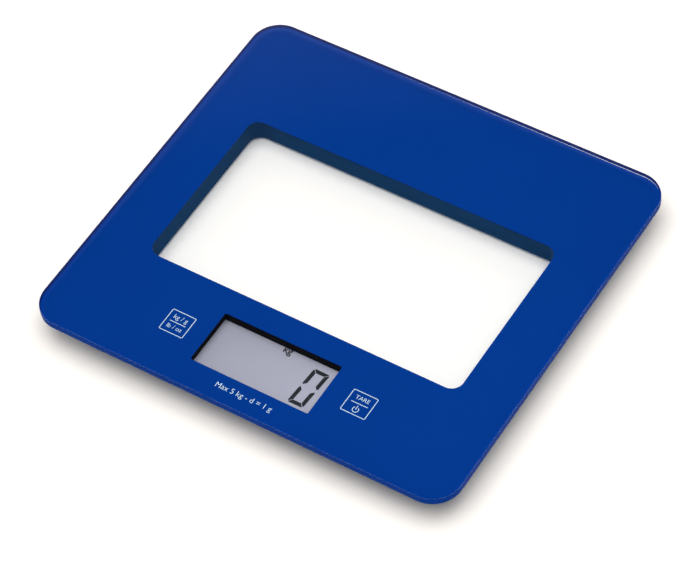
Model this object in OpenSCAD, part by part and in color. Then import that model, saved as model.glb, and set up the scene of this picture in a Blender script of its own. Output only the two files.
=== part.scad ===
// Slim platform scale: a clear glass plate, printed on its underside, bonded to a moulded frame.
// The frame is open in the middle and carries a load cell with a sprung foot in each corner.
// Origin: middle of the footprint on the standing surface. +X right, +Y to the rear, +Z up. Millimetres.

/* [Glass platform] */
// Width of the glass plate
plate_w = 200; // [190:1:260]
// Depth of the glass plate
plate_d = 184; // [180:1:240]
// Thickness of the glass plate
plate_t = 4; // [3.5:0.5:8]
// Corner radius of the glass plate
plate_r = 13; // [8:1:20]
// Radius of the upper edge of the glass
plate_edge = 1; // [0.5:0.1:1.6]
// Radius of the ground lower edge of the glass
plate_arris = 0.4; // [0.2:0.1:1.6]

/* [Print and bonding sheet] */
// Thickness of the back print
film_t = 0.2; // [0.1:0.05:0.4]
// Clear rim between the ground edge and the print
film_rim = 0.1; // [0:0.05:2]
// Corner radius of the clear window in the print
window_r = 5.3; // [3:0.1:10]
// Overhang of the print past the frame around the window
window_margin = 0.25; // [0.1:0.05:1]
// Thickness of the bonding sheet
sheet_t = 0.5; // [0.3:0.1:1.2]
// Set-back of the bonding sheet from the edges of the frame
sheet_inset = 0.6; // [0.2:0.1:1]

/* [Frame] */
// Overhang of the glass past the frame at the sides
overhang_x = 11; // [9:0.5:14]
// Overhang of the glass past the frame at front and rear
overhang_y = 9; // [7:0.5:12]
// Width of the frame beside the window
side_band = 13.95; // [13.5:0.05:20]
// Depth of the frame in front of and behind the window
end_band = 41.95; // [41.5:0.05:55]
// Outer corner radius of the frame
frame_r = 16; // [15:0.5:18]
// Radius of the frame's lower outer edge
frame_edge = 1; // [0.4:0.1:1.2]
// Height of the frame
frame_h = 9.5; // [9.4:0.1:12]
// Thickness of the frame's walls
wall = 1.6; // [1.2:0.1:2]
// Thickness of the frame's roof
roof_t = 1.5; // [1.2:0.1:2]
// Height of the stiffening ribs under the roof
rib_h = 1.2; // [0.6:0.1:1.4]
// Thickness of the stiffening ribs
rib_t = 1.2; // [0.8:0.1:2]

/* [Bottom cover] */
// Height of the cover above the standing surface
ground_gap = 1.8; // [1.6:0.1:3]
// Thickness of the cover
cover_t = 1.2; // [1:0.1:1.6]
// Gap between the cover and the frame's walls
cover_fit = 0.3; // [0.2:0.05:0.5]
// Distance of the rear screws from the feet's axes, along X
screw_side = 18; // [17:0.5:20]
// Distance of the outer rear screws from the rear end of the frame
screw_end = 6; // [5.5:0.5:8]
// Distance of the inner rear screws from the feet's axes, along Y
screw_step = 14; // [12:0.5:16]
// Radius of a screw shank
screw_r = 1; // [0.8:0.1:1.2]
// Radius of a screw head
head_r = 2.5; // [2:0.1:2.8]
// Height of a screw head
head_h = 1.2; // [1:0.1:1.6]
// Clearance around a screw
screw_fit = 0.1; // [0.05:0.05:0.3]
// Wall around a screw in the frame
boss_wall = 1.2; // [1:0.1:1.5]
// Wall around a screw head in the cover
seat_wall = 1; // [0.8:0.1:1.2]

/* [Load cells] */
// Width of a square load cell
cell_w = 21; // [20:0.5:21.5]
// Thickness of a load cell
cell_t = 1.5; // [1.2:0.1:2]
// Corner radius of a load cell
cell_r = 3; // [2:0.5:5]
// Width of the bars of a load cell's outer frame
cell_bar = 3.4; // [3:0.1:4]
// Width of the bending tongue
tongue_w = 8; // [7:0.5:9]
// Slot between the tongue's tip and the outer frame
cell_slot = 2; // [1:0.1:2.5]
// Height of a load cell above the cover
cell_lift = 3.8; // [3.6:0.1:4.5]
// Gap between a load cell and its pocket
cell_fit = 0.3; // [0.2:0.05:0.5]
// Wall of a load cell's pocket
pocket_wall = 1.4; // [1:0.1:1.6]
// Radius of the posts that hold a load cell up
post_r = 1.5; // [1:0.1:1.6]
// Length of a potted strain gauge along the tongue
gauge_l = 3.2; // [2.5:0.1:3.5]
// Height of a potted strain gauge
gauge_h = 1.2; // [1.1:0.1:1.5]

/* [Feet] */
// Distance of a foot's axis from the sides of the frame
foot_inset = 16; // [15.5:0.5:17]
// Radius of a foot
foot_r = 8.5; // [7.8:0.1:8.8]
// Gap between a foot and its hole in the cover
foot_fit = 0.3; // [0.2:0.05:0.5]
// Width of the flange that keeps a foot in its hole, past the foot
flange_out = 1.3; // [0.8:0.1:1.5]
// Thickness of the flange
flange_t = 1.2; // [0.8:0.1:1.4]
// Gap between the flange and the cover
flange_gap = 0.3; // [0.2:0.05:0.5]
// Radius of the stem that presses on the tongue
stem_r = 2.6; // [2:0.1:3]
// Radius of the peg that centres the stem in the tongue
peg_r = 1.4; // [1:0.1:1.6]
// Clearance of the peg in the tongue
peg_fit = 0.1; // [0.05:0.05:0.2]
// Radius of the rounded rim of a foot
foot_rim = 0.8; // [0.3:0.1:1]
// Radius of a rubber pad
pad_r = 7.2; // [6:0.1:7.2]
// Thickness of a rubber pad
pad_t = 1.4; // [1:0.1:1.5]
// Depth of the pad's seat in the foot
pad_seat = 0.5; // [0.3:0.1:0.8]
// Clearance around a pad in its seat
pad_fit = 0.1; // [0.05:0.05:0.3]

/* [Display] */
// Width of the display window in the print
display_w = 56.4; // [50:0.2:58]
// Depth of the display window in the print
display_d = 26.2; // [22:0.2:26.4]
// Corner radius of the display window
display_r = 0.7; // [0.3:0.1:3]
// Distance of the display's middle from the front edge of the glass
display_front = 26.7; // [26.5:0.1:28]
// Depth of the display's face below the print
display_depth = 4.6; // [4.4:0.1:5]
// Width of the shroud's opening past the display window
shroud_over_x = 1.2; // [0.4:0.1:2]
// Depth of the shroud's opening past the display window
shroud_over_y = -0.2; // [-0.4:0.1:0.4]
// Wall of the shroud
shroud_wall = 1.6; // [1:0.1:1.6]
// Width of the shroud's flange under the roof
shroud_flange = 1; // [0.6:0.1:1]
// Gap between the shroud and the roof
shroud_fit = 0.2; // [0.1:0.05:0.3]
// Reach of the display glass past its window at the sides
lcd_side = 3.8; // [3.4:0.1:4.2]
// Reach of the display glass past its window at the front
lcd_lap = 2.3; // [2:0.1:2.4]
// Reach of the display glass past its window at the rear, ahead of the ledge
lcd_lap_rear = 1.7; // [1.5:0.1:1.8]
// Depth of the contact ledge at the rear of the display glass
lcd_ledge = 2.5; // [2:0.1:2.6]
// Thickness of each of the two display glasses
lcd_glass_t = 0.7; // [0.5:0.1:0.8]
// Thickness of each polariser
polariser_t = 0.2; // [0.1:0.05:0.3]
// Width of the contact strip
zebra_w = 1.6; // [1:0.1:1.8]

/* [Board and keys] */
// Reach of the board past the keys' axes
board_side = 6.8; // [6.2:0.1:7.2]
// Thickness of the board
board_t = 1; // [0.8:0.1:1.2]
// Gap between the board and the display glass
board_gap = 0.2; // [0.1:0.05:0.3]
// Gap between the board and the front wall
board_front = 0.5; // [0.3:0.1:1]
// Reach of the board past the rear of the display glass
board_rear = 0.3; // [0.2:0.1:0.6]
// Distance of the screws beside the display from the display glass
board_screw_side = 4.5; // [4.3:0.1:4.7]
// Distance of each touch key's axis from the display glass
key_side = 11.2; // [11:0.1:11.6]
// Radius of a touch spring, to the middle of its wire
spring_r = 2.4; // [2:0.1:2.6]
// Radius of the spring wire
spring_wire = 0.25; // [0.2:0.05:0.3]
// Turns of a touch spring
spring_turns = 6; // [4:1:7]

/* [Battery] */
// Radius of the coin cell
coin_r = 10; // [8:0.5:10.5]
// Thickness of the coin cell
coin_t = 3.2; // [2:0.1:3.2]
// Clearance around the coin cell
coin_fit = 0.3; // [0.2:0.05:0.5]
// Gap between the coin cell and the cap
coin_gap = 0.2; // [0.1:0.05:0.3]
// Wall of the battery well
well_wall = 1.2; // [1:0.1:1.5]
// Clearance around the cap
cap_fit = 0.3; // [0.2:0.05:0.4]
// Width of the cap's rim
cap_rim = 1.8; // [1.5:0.1:2]
// Reach of the cap's locking lugs past the hole
lug_out = 1; // [0.6:0.1:1.2]
// Thickness of a locking lug
lug_t = 0.8; // [0.6:0.1:1]
// Gap above and below a locking lug
lug_gap = 0.3; // [0.2:0.05:0.4]
// Width of a locking lug in degrees
lug_angle = 24; // [18:1:26]
// Turn from locked to open in degrees
cap_turn = 45; // [40:1:60]
// Thickness of the contact sheet
contact_t = 0.3; // [0.2:0.05:0.4]
// Rise of the contact over the coin cell
contact_lift = 0.2; // [0.1:0.05:0.3]

/* [Leads] */
// Radius of a core in a sensor lead
core_r = 0.45; // [0.35:0.05:0.5]
// Distance between the cores of a sensor lead
core_pitch = 0.8; // [0.7:0.05:0.85]
// Radius of a battery wire
wire_r = 0.5; // [0.4:0.05:0.55]
// Bend radius of the leads
bend_r = 2.5; // [2:0.1:3]
// Distance between neighbouring wires
wire_pitch = 1.4; // [1.3:0.1:1.5]

/* [Hidden] */
$fn = 96;
corner_names = ["front_left", "front_right", "rear_left", "rear_right"];
front_left = [-1, -1];
front_right = [1, -1];
rear_left = [-1, 1];
rear_right = [1, 1];
corners = [front_left, front_right, rear_left, rear_right];
function corner_nodes(piece) = [for (name = corner_names) str(piece, "_", name)];

// How far a cut runs past a face, and how far a joined piece runs into its neighbour
cut = 1;
weld = 0.5;

// Outlines in plan
frame_w = plate_w - 2 * overhang_x;
frame_d = plate_d - 2 * overhang_y;
opening_w = frame_w - 2 * side_band;
opening_d = frame_d - 2 * end_band;
opening_r = window_r + window_margin;
window_w = opening_w - 2 * window_margin;
window_d = opening_d - 2 * window_margin;
film_inset = plate_arris + film_rim;

rib_places = [-40, -25, 25, 40];

// Levels, from the standing surface upwards
z_cover = ground_gap;
z_cover_top = z_cover + cover_t;
z_frame_top = z_cover + frame_h;
z_roof = z_frame_top - roof_t;
z_film = z_frame_top + sheet_t;
z_plate = z_film + film_t;
z_cell = z_cover_top + cell_lift;
z_cell_top = z_cell + cell_t;

// Feet
foot_x = frame_w / 2 - foot_inset;
foot_y = frame_d / 2 - foot_inset;
z_foot = pad_t - pad_seat;
z_flange = z_cover_top + flange_gap;
flange_r = foot_r + flange_out;
peg_short = 0.3;
peg_h = cell_t - peg_short;
pad_round = 0.4;

// Load cells
cell_open = cell_w - 2 * cell_bar;
slot_r = 1;
gauge_back = 0.2;
gauge_end = cell_open / 2 - gauge_back;
gauge_side = 1;
gauge_w = tongue_w - 2 * gauge_side;
gauge_r = 0.5;
post_place = cell_w / 2 - cell_bar / 2;

// Screws
head_sink = 0.2;
seat_t = 1;
z_head = z_cover + head_sink;
z_seat = z_head + head_h + seat_t;
boss_r = screw_r + screw_fit + boss_wall;
seat_r = head_r + screw_fit + seat_wall;
screw_grip = 4.4;
pilot_deeper = 0.3;
drive_l = 2.6;
drive_w = 0.6;
drive_h = 0.8;

// Display and board
display_y = display_front - plate_d / 2;
lcd_w = display_w + 2 * lcd_side;
key_x = lcd_w / 2 + key_side;
board_w = 2 * (key_x + board_side);
board_screw_x = lcd_w / 2 + board_screw_side;
shroud_w = display_w + shroud_over_x;
shroud_d = display_d + shroud_over_y;
flange_plate = 1;
z_lcd = z_plate - display_depth;
lcd_t = 2 * (lcd_glass_t + polariser_t);
lcd_front_y = display_y - display_d / 2 - lcd_lap;
lcd_rear_y = display_y + display_d / 2 + lcd_lap_rear + lcd_ledge;
polariser_inset = 1.5;
zebra_short = 2;
zebra_l = lcd_w - 2 * zebra_short;
z_board_top = z_lcd - lcd_t - board_gap;
z_board = z_board_top - board_t;
board_front_y = -(frame_d / 2 - wall - board_front);
board_rear_y = lcd_rear_y + board_rear;
board_d = board_rear_y - board_front_y;
board_mid_y = (board_front_y + board_rear_y) / 2;
board_r = 1.5;
board_boss_r = 2.2;
board_screw_r = 0.75;
board_head_r = 1.8;
board_head_h = 0.9;
board_screw_grip = 3;
board_screw_front = 3.2;
board_screw_rear = 2;
board_screw_rows = [lcd_front_y + board_screw_front, lcd_rear_y - board_screw_rear];
board_screw_places = [for (sx = [-1, 1], y = board_screw_rows) [sx * board_screw_x, y]];
board_boss_fit = 0.3;

// Cover screws: one through the board on each side of the display, two in each rear corner
rear_screw_x = foot_x - screw_side;
rear_screw_rows = [foot_y - screw_step, frame_d / 2 - screw_end];
screw_places = [
    for (sx = [-1, 1])
        each [[sx * board_screw_x, display_y], for (y = rear_screw_rows) [sx * rear_screw_x, y]]
];

// Touch springs and the parts soldered beside them
spring_room = 1.2;
spring_hole_r = spring_r + spring_wire + spring_room;
blob_r = 2.8;
blob_h = 1.4;
capacitor_r = 2;
capacitor_h = 3.2;
crystal = [9, 3.5, 2.6];
chip = [0.9, 1.6, 0.5];
chip_pitch = 2;
chips = 4;
part_rear = 9.3;
part_front = 8.7;

// Battery well, from the cap upwards
bat_y = frame_d / 2 - end_band / 2;
cap_bore_room = 0.6;
cap_bore_r = coin_r + cap_bore_room;
cap_rim_r = cap_bore_r + cap_rim;
cap_lip = 0.2;
cap_r = cap_rim_r + cap_lip;
cap_hole_r = cap_r + cap_fit;
lug_r = cap_hole_r + lug_out;
groove_r = lug_r + cap_fit;
collar_r = groove_r + well_wall;
cup_r = coin_r + coin_fit + well_wall;
z_lug = z_cover_top + lug_gap;
z_shelf = z_lug + lug_t + lug_gap;
z_shelf_top = z_shelf + well_wall;
z_coin = z_cover_top + coin_gap;
z_coin_top = z_coin + coin_t;
z_leaf = z_coin_top + contact_lift;
z_ceiling = z_leaf + contact_t;
lugs = [0, 120, 240];
lug_free = 4;
coin_slot = [14, 2.2, 0.7];
contact_w = 5;
contact_room = 0.5;
contact_gap = 0.1;
tail_w = 2.4;
tail_out = 2.2;

// Lead lanes: the wires lie beside the window wall, the sensor leads outside them
z_lead = z_cell - gauge_h / 2;
lane_gap = 0.5;
lane_black = opening_w / 2 + wall + lane_gap + wire_r;
lane_red = lane_black + wire_pitch;
sensor_step = 2.4;
lane_sensor = lane_red + sensor_step;
rear_black_y = opening_d / 2 + wall + lane_gap + wire_r;
rear_red_y = rear_black_y + wire_pitch;
turn_gap = 4;
rear_turn_y = foot_y - cell_w / 2 - turn_gap;
socket_edge = 1.6;
pocket_half = cell_w / 2 + cell_fit + pocket_wall;
core_half = core_pitch + core_r;
pocket_gap = 0.05;
front_black_y = board_rear_y - socket_edge;
front_red_y = front_black_y - wire_pitch;
front_sensor_y = -(foot_y - pocket_half - core_half - pocket_gap);
red_out = 1.4;
red_start_x = -(cup_r + red_out);
socket_l = 3.6;
socket_h = 2.8;
socket_w3 = 3.6;
socket_w2 = 3;
rest_t = 1.2;
rest_gap = 0.1;
rest_past = 1.5;
rest_out = 5;
side_rests = 3;
rear_rests = 2;

// Stiffening ribs of the cover, behind the wires
cover_rib_from = rear_red_y + wire_r + rest_past;
cover_rib_to = frame_d / 2 - wall - cover_fit - rest_past;

// Flat rectangle with round corners
module rounded_rect(w, d, r) {
    square([w - 2 * r, d], center = true);
    square([w, d - 2 * r], center = true);
    for (sx = [-1, 1], sy = [-1, 1])
        translate([sx * (w / 2 - r), sy * (d / 2 - r)]) circle(r);
}

// Flat band of the housing, set in by a distance from its outline and from the window opening
module band(inset) {
    difference() {
        rounded_rect(frame_w - 2 * inset, frame_d - 2 * inset, frame_r - inset);
        rounded_rect(opening_w + 2 * inset, opening_d + 2 * inset, opening_r + inset);
    }
}

// Moves its children to a corner's foot axis
module at_foot(c) {
    translate([c[0] * foot_x, c[1] * foot_y, 0]) children();
}

// Turn about Z that points a load cell's root to the middle in front, and to the front at the rear
function root_turn(c) = c[1] > 0 ? 90 : c[0] > 0 ? 0 : 180;

// Upright section of a slab that stands on y = 0, with round lower edges and, if above 0, round upper ones
module slab_section(w, h, low, top) {
    translate([-w / 2, low]) square([w, h - low - top]);
    translate([low - w / 2, 0]) square([w - 2 * low, h / 2]);
    translate([top - w / 2, h / 2]) square([w - 2 * top, h / 2]);
    for (sx = [-1, 1]) {
        translate([sx * (w / 2 - low), low]) circle(low);
        if (top > 0) translate([sx * (w / 2 - top), h - top]) circle(top);
    }
}

// Slab with round corners and edges: two crossed bars and four turned corners
module slab(w, d, h, r, low, top) {
    translate([0, d / 2 - r, 0]) rotate([90, 0, 0])
        linear_extrude(d - 2 * r) slab_section(w, h, low, top);
    translate([r - w / 2, 0, 0]) rotate([90, 0, 90])
        linear_extrude(w - 2 * r) slab_section(d, h, low, top);
    for (i = [0:3]) {
        sx = i == 0 || i == 3 ? 1 : -1;
        sy = i < 2 ? 1 : -1;
        translate([sx * (w / 2 - r), sy * (d / 2 - r), 0]) rotate(90 * i)
            rotate_extrude(angle = 90) intersection() {
                slab_section(2 * r, h, low, top);
                square([r, h]);
            }
    }
}

module glass_platform() {
    color([0.75, 0.88, 0.95, 0.4]) translate([0, 0, z_plate])
        slab(plate_w, plate_d, plate_t, plate_r, plate_arris, plate_edge);
}

module printed_film() {
    color([0.01, 0.22, 0.55]) translate([0, 0, z_film]) linear_extrude(film_t) difference() {
        rounded_rect(plate_w - 2 * film_inset, plate_d - 2 * film_inset, plate_r - film_inset);
        rounded_rect(window_w, window_d, window_r);
        translate([0, display_y]) rounded_rect(display_w, display_d, display_r);
    }
}

module adhesive_sheet() {
    color([0.85, 0.85, 0.82]) translate([0, 0, z_frame_top]) linear_extrude(sheet_t) difference() {
        band(sheet_inset);
        translate([0, display_y])
            square([shroud_w, shroud_d] + [1, 1] * 2 * sheet_inset, center = true);
        for (sx = [-1, 1]) translate([sx * key_x, display_y]) circle(spring_hole_r);
    }
}

// Pocket under the roof that locates a load cell and bears on its outer frame
module cell_pocket() {
    outer = 2 * pocket_half;
    inner = cell_w + 2 * cell_fit;
    translate([0, 0, z_cell]) linear_extrude(z_roof - z_cell + weld) difference() {
        rounded_rect(outer, outer, cell_r + cell_fit + pocket_wall);
        rounded_rect(inner, inner, cell_r + cell_fit);
    }
    translate([0, 0, z_cell_top]) linear_extrude(z_roof - z_cell_top + weld) difference() {
        rounded_rect(inner + pocket_wall, inner + pocket_wall, cell_r + cell_fit);
        rounded_rect(cell_open, cell_open, slot_r);
    }
}

module upper_frame() {
    color([0.07, 0.2, 0.33]) difference() {
        union() {
            difference() {
                translate([0, 0, z_cover]) slab(frame_w, frame_d, frame_h, frame_r, frame_edge, 0);
                translate([0, 0, z_cover - cut]) linear_extrude(frame_h + 2 * cut)
                    rounded_rect(opening_w, opening_d, opening_r);
                translate([0, 0, z_cover - cut]) linear_extrude(frame_h - roof_t + cut) band(wall);
            }
            for (c = corners) at_foot(c) cell_pocket();
            for (p = screw_places)
                translate([p[0], p[1], z_seat]) cylinder(r = boss_r, h = z_roof - z_seat + weld);
            for (p = board_screw_places)
                translate([p[0], p[1], z_board_top])
                    cylinder(r = board_boss_r, h = z_roof - z_board_top + weld);
            for (x = rib_places)
                translate([x - rib_t / 2, opening_d / 2 + weld, z_roof - rib_h])
                    cube([rib_t, end_band - 2 * weld, rib_h + weld]);
        }
        for (p = screw_places)
            translate([p[0], p[1], z_seat - cut])
                cylinder(r = screw_r + screw_fit, h = screw_grip + pilot_deeper + cut);
        for (p = board_screw_places)
            translate([p[0], p[1], z_board_top - cut])
                cylinder(r = board_screw_r + screw_fit, h = board_screw_grip + pilot_deeper + cut);
        for (sx = [-1, 1])
            translate([sx * key_x, display_y, z_roof - cut])
                cylinder(r = spring_hole_r, h = roof_t + 2 * cut);
        translate([0, display_y, z_roof - cut]) linear_extrude(roof_t + 2 * cut)
            square([shroud_w, shroud_d] + [1, 1] * 2 * (shroud_wall + shroud_fit), center = true);
    }
}

// Posts that hold a load cell up against its pocket
module cell_posts() {
    for (sx = [-1, 1], sy = [-1, 1])
        translate([sx * post_place, sy * post_place, z_cover])
            cylinder(r = post_r, h = z_cell - z_cover);
}

// Low walls that the leads lie on
module lead_rests() {
    rest_h = z_lead - wire_r - rest_gap - z_cover;
    side_w = side_band - 2 * (wall + cover_fit);
    side_step = opening_d / side_rests;
    rear_step = (lane_black - cup_r) / (rear_rests + 1);
    for (sx = [-1, 1], i = [0:side_rests - 1])
        translate([sx * (opening_w + side_band) / 2 - side_w / 2, 0, z_cover])
            translate([0, (i - (side_rests - 1) / 2) * side_step - rest_t / 2, 0])
                cube([side_w, rest_t, rest_h]);
    for (i = [1:rear_rests])
        translate([-cup_r - i * rear_step - rest_t / 2, rear_black_y - wire_r, z_cover])
            cube([rest_t, wire_pitch + 2 * wire_r, rest_h]);
    for (sx = [-1, 1])
        translate([sx * (board_w / 2 + rest_out) - rest_t / 2, front_sensor_y - rest_past, z_cover])
            cube([rest_t, front_black_y - front_sensor_y + rest_past + wire_r, rest_h]);
}

// Notch or lug of the bayonet: a ring sector about the battery's axis
module sector(from_r, to_r, angle, height) {
    rotate(-angle / 2) rotate_extrude(angle = angle)
        translate([from_r, 0]) square([to_r - from_r, height]);
}

// Hollow of the battery well: cap hole, lug groove, coin bore, lug notches and contact slots
module battery_hollow() {
    translate([0, 0, z_cover - cut]) cylinder(r = cap_hole_r, h = cover_t + 2 * cut);
    translate([0, 0, z_cover_top]) cylinder(r = groove_r, h = z_shelf - z_cover_top);
    translate([0, 0, z_shelf - cut]) cylinder(r = coin_r + coin_fit, h = z_ceiling - z_shelf + cut);
    for (a = lugs)
        translate([0, 0, z_cover - cut]) rotate(a + cap_turn)
            sector(cap_r, groove_r, lug_angle + 2 * lug_free, cover_t + cut + lug_gap);
    translate([-cup_r - cut, -contact_w / 2 - contact_room, z_shelf_top])
        cube([cup_r - coin_r + cut + weld, contact_w + 2 * contact_room, z_ceiling - z_shelf_top]);
    translate([-contact_w / 2 - contact_room, -cup_r - cut, z_leaf - contact_gap])
        cube([contact_w + 2 * contact_room, cup_r, z_ceiling - z_leaf + contact_gap]);
}

module bottom_cover() {
    color([0.07, 0.2, 0.33]) difference() {
        union() {
            translate([0, 0, z_cover]) linear_extrude(cover_t) band(wall + cover_fit);
            for (p = screw_places)
                translate([p[0], p[1], z_cover]) cylinder(r = seat_r, h = z_seat - z_cover);
            for (c = corners) at_foot(c) cell_posts();
            lead_rests();
            for (x = rib_places)
                translate([x - rib_t / 2, cover_rib_from, z_cover])
                    cube([rib_t, cover_rib_to - cover_rib_from, cover_t + rib_h]);
            translate([0, bat_y, z_cover]) cylinder(r = collar_r, h = z_shelf_top - z_cover);
            translate([0, bat_y, z_shelf]) cylinder(r = cup_r, h = z_ceiling + well_wall - z_shelf);
        }
        for (c = corners)
            at_foot(c) translate([0, 0, z_cover - cut])
                cylinder(r = foot_r + foot_fit, h = cover_t + 2 * cut);
        for (p = screw_places) translate([p[0], p[1], z_cover - cut]) {
            cylinder(r = head_r + screw_fit, h = head_sink + head_h + cut);
            cylinder(r = screw_r + 2 * screw_fit, h = z_seat - z_cover + 2 * cut);
        }
        translate([0, bat_y, 0]) battery_hollow();
    }
}

module battery_cap() {
    color([0.06, 0.17, 0.28]) translate([0, bat_y, 0]) difference() {
        union() {
            translate([0, 0, z_cover]) cylinder(r = cap_r, h = cover_t);
            translate([0, 0, z_cover_top - weld]) cylinder(r = cap_rim_r, h = lug_gap + lug_t + weld);
            for (a = lugs)
                translate([0, 0, z_lug]) rotate(a) sector(cap_rim_r - weld, lug_r, lug_angle, lug_t);
        }
        translate([0, 0, z_cover_top]) cylinder(r = cap_bore_r, h = lug_gap + lug_t + cut);
        translate([-coin_slot[0] / 2, -coin_slot[1] / 2, z_cover - cut])
            cube([coin_slot[0], coin_slot[1], coin_slot[2] + cut]);
    }
}

module coin_cell() {
    round_r = 0.4;
    lid_step = 1.6;
    lid_r = coin_r - lid_step;
    lid_h = 0.25;
    color("gainsboro") translate([0, bat_y, z_coin]) rotate_extrude() {
        square([coin_r - round_r, coin_t - lid_h]);
        translate([0, round_r]) square([coin_r, coin_t - lid_h - 2 * round_r]);
        for (y = [round_r, coin_t - lid_h - round_r]) translate([coin_r - round_r, y]) circle(round_r);
        square([lid_r, coin_t]);
    }
}

module battery_contact_positive() {
    reach = cup_r + tail_out;
    near = coin_r + contact_gap / 2;
    color("goldenrod") translate([0, bat_y, z_shelf_top + contact_gap]) {
        translate([-near - contact_t, -contact_w / 2, 0])
            cube([contact_t, contact_w, z_ceiling - z_shelf_top - 2 * contact_gap]);
        translate([-reach, -tail_w / 2, 0]) cube([reach - near, tail_w, contact_t]);
    }
}

module battery_contact_negative() {
    rear = 4;
    dimple_r = 1.5;
    tail_y = rear_black_y - wire_r - bat_y;
    color("goldenrod") translate([0, bat_y, z_leaf]) {
        translate([-contact_w / 2, tail_y, 0]) cube([contact_w, rear - tail_y, contact_t]);
        translate([0, 0, -contact_lift]) cylinder(r = dimple_r, h = contact_lift + contact_t / 2);
    }
}

module main_board() {
    color([0.05, 0.35, 0.18]) translate([0, 0, z_board]) linear_extrude(board_t) difference() {
        translate([0, board_mid_y]) rounded_rect(board_w, board_d, board_r);
        for (p = board_screw_places) translate([p[0], p[1]]) circle(board_screw_r + 2 * screw_fit);
        for (sx = [-1, 1])
            translate([sx * board_screw_x, display_y]) circle(boss_r + board_boss_fit);
    }
}

// Chip under its potting blob, a capacitor, a crystal can and a row of chip resistors
module board_components() {
    rear_y = display_y + part_rear;
    front_y = display_y - part_front;
    color([0.12, 0.12, 0.13]) translate([0, 0, z_board_top]) {
        translate([key_x, rear_y, 0]) {
            cylinder(r = blob_r, h = blob_h / 2);
            translate([0, 0, blob_h / 2]) cylinder(r1 = blob_r, r2 = blob_r / 2, h = blob_h / 2);
        }
        translate([-key_x, rear_y, 0]) cylinder(r = capacitor_r, h = capacitor_h);
        translate([key_x - crystal[0] / 2, front_y - crystal[1] / 2, 0]) cube(crystal);
        for (i = [0:chips - 1])
            translate([-key_x + (i - (chips - 1) / 2) * chip_pitch - chip[0] / 2, front_y - chip[1] / 2, 0])
                cube(chip);
    }
}

// One socket at the board's side edge
module socket(side, y, w) {
    slot = 0.8;
    translate([side > 0 ? board_w / 2 - socket_l : -board_w / 2, y - w / 2, z_board_top]) difference() {
        cube([socket_l, w, socket_h]);
        translate([socket_l / 2 - slot, slot, socket_h / 2]) cube([2 * slot, w - 2 * slot, socket_h]);
    }
}

module lead_sockets() {
    color("ivory") {
        for (side = [-1, 1]) {
            socket(side, -foot_y, socket_w3);
            socket(side, front_sensor_y, socket_w3);
        }
        socket(-1, (front_red_y + front_black_y) / 2, socket_w2);
    }
}

module lcd_panel() {
    z_ledge = z_lcd - polariser_t - lcd_glass_t;
    full_d = lcd_rear_y - lcd_front_y;
    view_d = full_d - lcd_ledge;
    color([0.65, 0.66, 0.71]) translate([0, lcd_front_y, 0]) {
        translate([-lcd_w / 2, 0, z_ledge]) cube([lcd_w, full_d, lcd_glass_t]);
        translate([-lcd_w / 2, 0, z_ledge - lcd_glass_t]) cube([lcd_w, view_d, lcd_glass_t]);
        for (z = [z_lcd - lcd_t, z_lcd - polariser_t])
            translate([polariser_inset - lcd_w / 2, polariser_inset, z])
                cube([lcd_w - 2 * polariser_inset, view_d - 2 * polariser_inset, polariser_t]);
    }
}

module lcd_bezel() {
    outer = [shroud_w + 2 * shroud_wall, shroud_d + 2 * shroud_wall];
    flange = outer + [1, 1] * 2 * shroud_flange;
    color([0.05, 0.04, 0.05]) translate([0, display_y, 0]) difference() {
        union() {
            translate([0, 0, z_lcd]) linear_extrude(z_frame_top - z_lcd) square(outer, center = true);
            translate([0, 0, z_roof - flange_plate]) linear_extrude(flange_plate)
                square(flange, center = true);
        }
        translate([0, 0, z_lcd - cut]) linear_extrude(z_frame_top - z_lcd + 2 * cut)
            square([shroud_w, shroud_d], center = true);
    }
}

module zebra_strip() {
    height = z_lcd - polariser_t - lcd_glass_t - z_board_top;
    color([0.3, 0.3, 0.32]) translate([-zebra_l / 2, lcd_rear_y - lcd_ledge / 2 - zebra_w / 2, z_board_top])
        cube([zebra_l, zebra_w, height]);
}

// Helical spring as one swept tube: rings of points along the helix, joined by triangles
module coil_spring(height, turns) {
    sides = 6;
    steps = 8 * turns;
    rise = height - 2 * spring_wire;
    slope = rise / (360 * turns);
    lead = atan(slope * 180 / PI / spring_r);
    points = [
        for (i = [0:steps], k = [0:sides - 1])
            let (a = 360 * turns * i / steps, b = 360 * k / sides, r = spring_r + spring_wire * cos(b))
            [
                r * cos(a) + spring_wire * sin(b) * sin(lead) * sin(a),
                r * sin(a) - spring_wire * sin(b) * sin(lead) * cos(a),
                spring_wire + slope * a + spring_wire * sin(b) * cos(lead)
            ]
    ];
    walls = [
        for (i = [0:steps - 1], k = [0:sides - 1])
            let (a = i * sides + k, b = i * sides + (k + 1) % sides)
            each [[a, b, b + sides], [a, b + sides, a + sides]]
    ];
    ends = [
        for (k = [1:sides - 2])
            each [[0, k + 1, k], [steps * sides, steps * sides + k, steps * sides + k + 1]]
    ];
    polyhedron(points, concat(walls, ends));
}

module touch_spring(side) {
    color("silver") translate([side * key_x, display_y, z_board_top])
        coil_spring(z_film - z_board_top, spring_turns);
}

module load_cell(c) {
    color("silver") at_foot(c) translate([0, 0, z_cell]) rotate(root_turn(c))
        linear_extrude(cell_t) difference() {
            rounded_rect(cell_w, cell_w, cell_r);
            difference() {
                rounded_rect(cell_open, cell_open, slot_r);
                translate([-cell_open / 2 - cut, -tongue_w / 2])
                    square([cell_open - cell_slot + cut, tongue_w]);
            }
            circle(peg_r + peg_fit);
        }
}

module strain_gauges() {
    color("whitesmoke") for (c = corners)
        at_foot(c) translate([0, 0, z_cell - gauge_h]) rotate(root_turn(c))
            translate([gauge_l / 2 - gauge_end, 0, 0]) linear_extrude(gauge_h)
                rounded_rect(gauge_l, gauge_w, gauge_r);
}

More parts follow.
